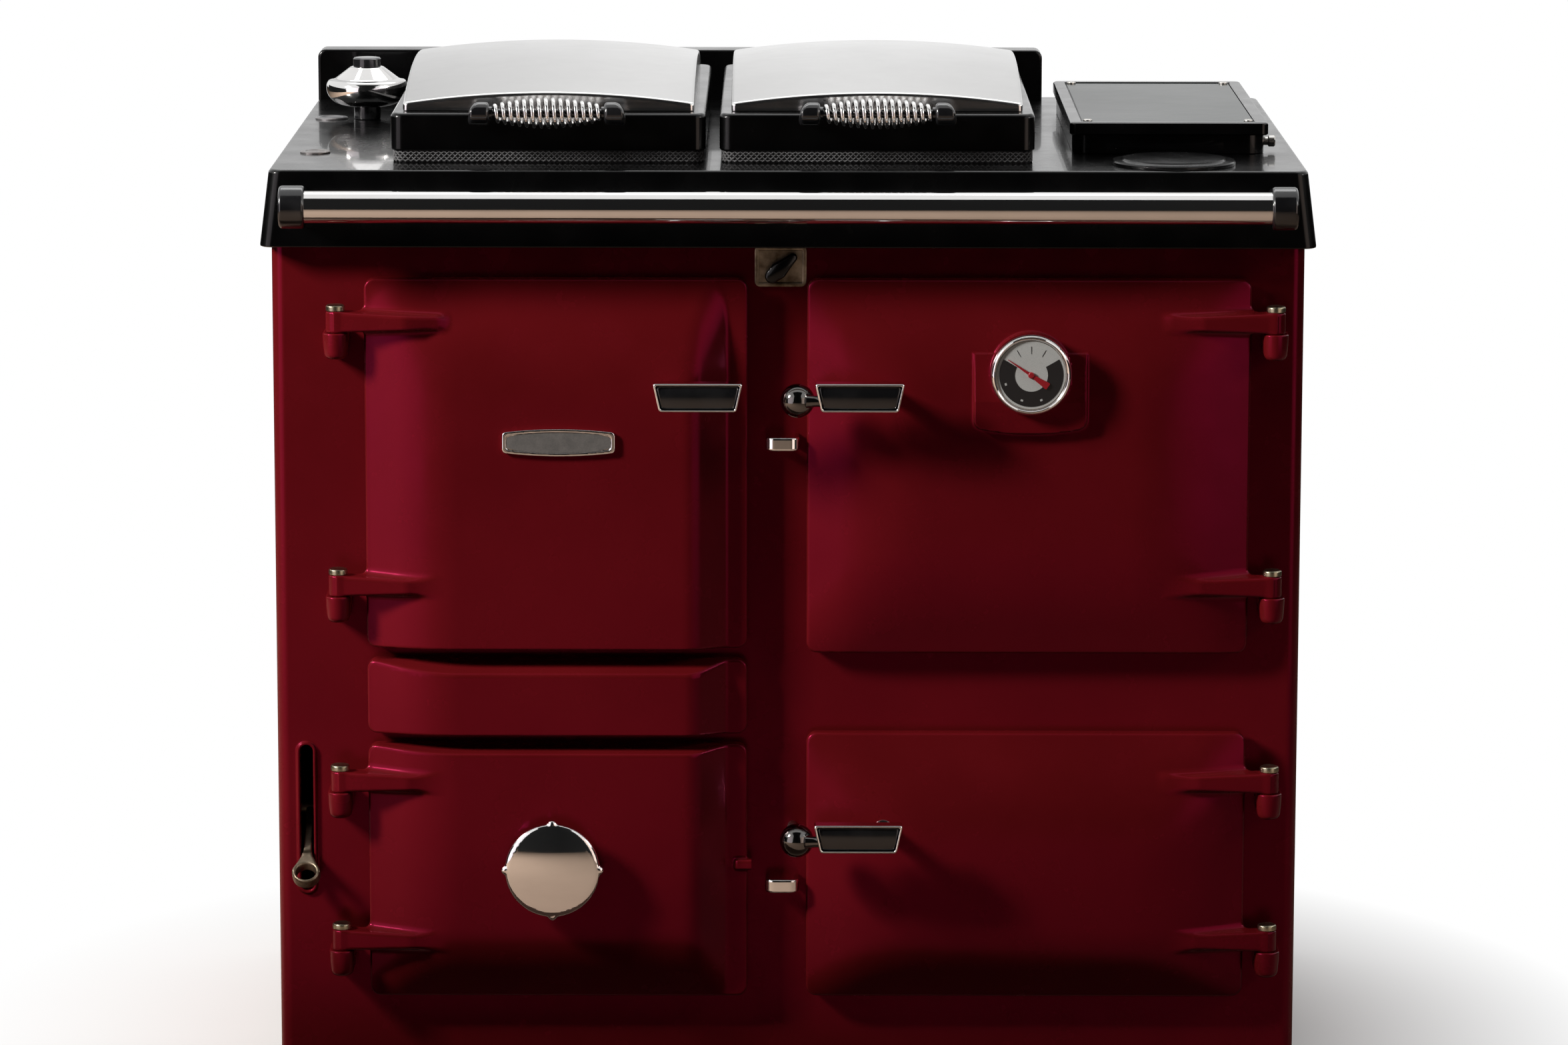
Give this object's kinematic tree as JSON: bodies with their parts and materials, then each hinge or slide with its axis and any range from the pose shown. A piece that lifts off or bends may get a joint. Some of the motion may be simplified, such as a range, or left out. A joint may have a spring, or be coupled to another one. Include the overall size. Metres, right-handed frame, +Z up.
{
  "type": "range cooker",
  "caption": "Cast iron range cooker with a fire door, ash door, two ovens, domed hotplate lids with coil grips, a flue box and a front handrail.",
  "frame": {"origin": "on the floor under the middle of the whole cooker's box", "axes": "+X to the right seen from the front, -Y to the front, +Z up"},
  "size_m": [0.99, 0.736, 0.9948],
  "materials": {
    "claret_enamel": "glossy vitreous enamel, deep claret",
    "black_enamel": "glossy vitreous enamel, black",
    "black_iron": "matt black heat-resistant paint",
    "oven_iron": "dark enamelled cast iron",
    "ground_iron": "machine-ground top face",
    "rope": "knitted glass-fibre rope, graphited",
    "brick": "pale firebrick",
    "chrome": "mirror chrome plate",
    "polished_steel": "polished stainless sheet with fine wear",
    "steel": "bright turned steel",
    "grip_black": "satin black heat-resistant moulding",
    "bronzed_steel": "brown heat-coloured steel",
    "dial_white": "white printed dial",
    "needle_red": "red painted pointer"
  },
  "bodies": {
    "cooker": {"plinth": "black_iron", "side_panels": "claret_enamel", "front_plate": "claret_enamel", "back_panel": "black_iron", "top_plate": "black_enamel", "upstand": "black_enamel", "infill_strip": "claret_enamel", "hotplates": "ground_iron", "hotplate_seals": "rope", "upper_oven": "oven_iron", "lower_oven": "oven_iron", "firebox": "oven_iron", "fire_bricks": "brick", "flue_box": "black_enamel", "flue_cover": "black_enamel", "cover_screws": "steel", "cleaning_cover": "black_enamel", "plate_plugs": "ground_iron", "handrail": "chrome", "rail_brackets": "grip_black", "hinge_brackets": "claret_enamel", "hinge_pins": "bronzed_steel", "door_catches": "chrome", "damper_plate": "bronzed_steel", "lid_hinges": "steel"},
    "fire_door": {"fire_door": "claret_enamel", "fire_door_liner": "black_iron", "badge": "steel"},
    "fire_handle": {"fire_handle": "chrome", "fire_grip": "grip_black"},
    "ash_door": {"ash_door": "claret_enamel"},
    "air_wheel": {"air_wheel": "chrome"},
    "air_valve": {"air_valve": "black_iron"},
    "upper_oven_door": {"upper_oven_door": "claret_enamel", "upper_oven_liner": "black_iron", "dial_bezel": "chrome", "dial_face": "dial_white"},
    "upper_handle": {"upper_handle": "chrome", "upper_grip": "grip_black"},
    "dial_needle": {"dial_needle": "needle_red"},
    "lower_oven_door": {"lower_oven_door": "claret_enamel", "lower_oven_liner": "black_iron"},
    "lower_handle": {"lower_handle": "chrome", "lower_grip": "grip_black"},
    "left_lid": {"left_lid_frame": "black_enamel", "left_lid_dome": "polished_steel", "left_grip_rod": "grip_black", "left_grip_coil": "chrome"},
    "right_lid": {"right_lid_frame": "black_enamel", "right_lid_dome": "polished_steel", "right_grip_rod": "grip_black", "right_grip_coil": "chrome"},
    "riddling_lever": {"riddling_lever": "bronzed_steel"},
    "grate": {"grate": "oven_iron"},
    "damper_lever": {"damper_lever": "steel"},
    "damper_rod": {"damper_rod": "steel"},
    "plate_knob": {"plate_knob": "chrome"},
    "ashpan": {"ashpan": "steel"},
    "upper_shelf": {"upper_shelf": "chrome"},
    "lower_shelf": {"lower_shelf": "chrome"}
  },
  "joints": [
    {"name": "fire_door_hinge", "type": "hinge", "parent": "cooker", "child": "fire_door", "pos_m": [-0.424, -0.306, 0.638], "axis": [0, 0, -1], "range_deg": [0, 110]},
    {"name": "ash_door_hinge", "type": "hinge", "parent": "cooker", "child": "ash_door", "pos_m": [-0.424, -0.306, 0.247], "axis": [0, 0, -1], "range_deg": [0, 100]},
    {"name": "upper_oven_door_hinge", "type": "hinge", "parent": "cooker", "child": "upper_oven_door", "pos_m": [0.457, -0.306, 0.638], "axis": [0, 0, 1], "range_deg": [0, 110]},
    {"name": "lower_oven_door_hinge", "type": "hinge", "parent": "cooker", "child": "lower_oven_door", "pos_m": [0.457, -0.306, 0.247], "axis": [0, 0, 1], "range_deg": [0, 110]},
    {"name": "fire_handle_lift", "type": "hinge", "parent": "fire_door", "child": "fire_handle", "pos_m": [-0.108, -0.338, 0.701], "axis": [0, -1, 0], "range_deg": [0, 20]},
    {"name": "upper_handle_lift", "type": "hinge", "parent": "upper_oven_door", "child": "upper_handle", "pos_m": [0.091, -0.338, 0.701], "axis": [0, 1, 0], "range_deg": [0, 20]},
    {"name": "lower_handle_lift", "type": "hinge", "parent": "lower_oven_door", "child": "lower_handle", "pos_m": [0.091, -0.338, 0.281], "axis": [0, 1, 0], "range_deg": [0, 20]},
    {"name": "dial_needle_turn", "type": "hinge", "parent": "upper_oven_door", "child": "dial_needle", "pos_m": [0.227, -0.335, 0.719], "axis": [0, 1, 0], "range_deg": [-100, 170]},
    {"name": "left_lid_hinge", "type": "hinge", "parent": "cooker", "child": "left_lid", "pos_m": [-0.227, 0.252, 0.9248], "axis": [-1, 0, 0], "range_deg": [0, 80]},
    {"name": "right_lid_hinge", "type": "hinge", "parent": "cooker", "child": "right_lid", "pos_m": [0.084, 0.252, 0.9248], "axis": [-1, 0, 0], "range_deg": [0, 80]},
    {"name": "air_wheel_spin", "type": "hinge", "parent": "ash_door", "child": "air_wheel", "pos_m": [-0.222, -0.338, 0.245], "axis": [0, 1, 0], "range_deg": [0, 1080]},
    {"name": "air_valve_travel", "type": "slide", "parent": "ash_door", "child": "air_valve", "axis": [0, 1, 0], "range_m": [0, 0.0121]},
    {"name": "riddling_lever_turn", "type": "hinge", "parent": "cooker", "child": "riddling_lever", "pos_m": [-0.458, -0.233, 0.282], "axis": [-1, 0, 0], "range_deg": [0, 76]},
    {"name": "grate_shake", "type": "slide", "parent": "cooker", "child": "grate", "axis": [0, 1, 0], "range_m": [0, 0.022]},
    {"name": "damper_lever_turn", "type": "hinge", "parent": "cooker", "child": "damper_lever", "pos_m": [-0.009, -0.286, 0.81], "axis": [0, -1, 0], "range_deg": [-60, 30]},
    {"name": "damper_rod_pull", "type": "slide", "parent": "cooker", "child": "damper_rod", "axis": [1, 0, 0], "range_m": [0, 0.04]},
    {"name": "plate_knob_turn", "type": "hinge", "parent": "cooker", "child": "plate_knob", "pos_m": [-0.423, 0.152, 0.93], "axis": [0, 0, -1], "range_deg": [0, 270]},
    {"name": "ashpan_slide", "type": "slide", "parent": "cooker", "child": "ashpan", "axis": [0, -1, 0], "range_m": [0, 0.04]},
    {"name": "upper_shelf_slide", "type": "slide", "parent": "cooker", "child": "upper_shelf", "axis": [0, -1, 0], "range_m": [0, 0.08]},
    {"name": "lower_shelf_slide", "type": "slide", "parent": "cooker", "child": "lower_shelf", "axis": [0, -1, 0], "range_m": [0, 0.08]}
  ],
  "couplings": [
    {"joint": "air_valve_travel", "follows": "air_wheel_spin", "m_per_rad": 0.00063662},
    {"joint": "riddling_lever_turn", "follows": "grate_shake", "rad_per_m": 60}
  ]
}
